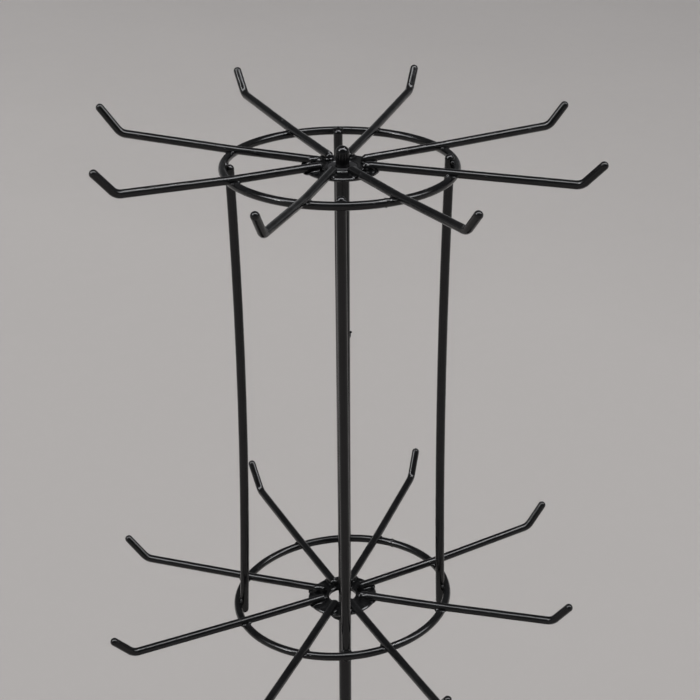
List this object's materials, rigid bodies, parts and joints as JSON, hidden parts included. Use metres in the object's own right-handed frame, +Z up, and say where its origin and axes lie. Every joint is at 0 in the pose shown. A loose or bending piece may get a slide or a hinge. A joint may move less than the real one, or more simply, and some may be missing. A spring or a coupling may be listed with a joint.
{
  "type": "rotating display rack",
  "caption": "Counter-top wire display spinner: two tiers of bent-wire hooks on rings, joined by uprights, turning freely on a centre pole over a round base.",
  "frame": {"origin": "centre of the plane the rubber feet rest on, on the pole's axis", "axes": "+Z up along the pole; +X and +Y level, towards the right and back uprights at rest"},
  "size_m": [0.2998, 0.3018, 0.6283],
  "materials": {
    "black_enamel": "gloss",
    "black_nylon": "satin",
    "black_rubber": "matte",
    "black_spring_steel": "satin",
    "zinc_plated_steel": "satin"
  },
  "bodies": {
    "stand": {"pole": "black_enamel", "base_plate": "black_enamel", "pole_nuts": "zinc_plated_steel", "pole_washers": "zinc_plated_steel", "rubber_feet": "black_rubber", "thrust_washer": "zinc_plated_steel", "top_clip": "zinc_plated_steel", "lower_clip": "black_spring_steel"},
    "rotor": {"top_ring": "black_enamel", "top_hub_plate": "black_enamel", "top_hub_collar": "black_enamel", "lower_ring": "black_enamel", "lower_hub_plate": "black_enamel", "lower_hub_collar": "black_enamel", "top_hook_1": "black_enamel", "top_hook_2": "black_enamel", "top_hook_3": "black_enamel", "top_hook_4": "black_enamel", "top_hook_5": "black_enamel", "top_hook_6": "black_enamel", "top_hook_7": "black_enamel", "top_hook_8": "black_enamel", "lower_hook_1": "black_enamel", "lower_hook_2": "black_enamel", "lower_hook_3": "black_enamel", "lower_hook_4": "black_enamel", "lower_hook_5": "black_enamel", "lower_hook_6": "black_enamel", "lower_hook_7": "black_enamel", "lower_hook_8": "black_enamel", "upright_right": "black_enamel", "upright_back": "black_enamel", "upright_left": "black_enamel", "upright_front": "black_enamel", "top_bush": "black_nylon"}
  },
  "joints": [
    {"name": "rotor_spin", "type": "hinge", "parent": "stand", "child": "rotor", "pos_m": [0, 0, 0.602], "axis": [0, 0, 1], "continuous": true}
  ]
}
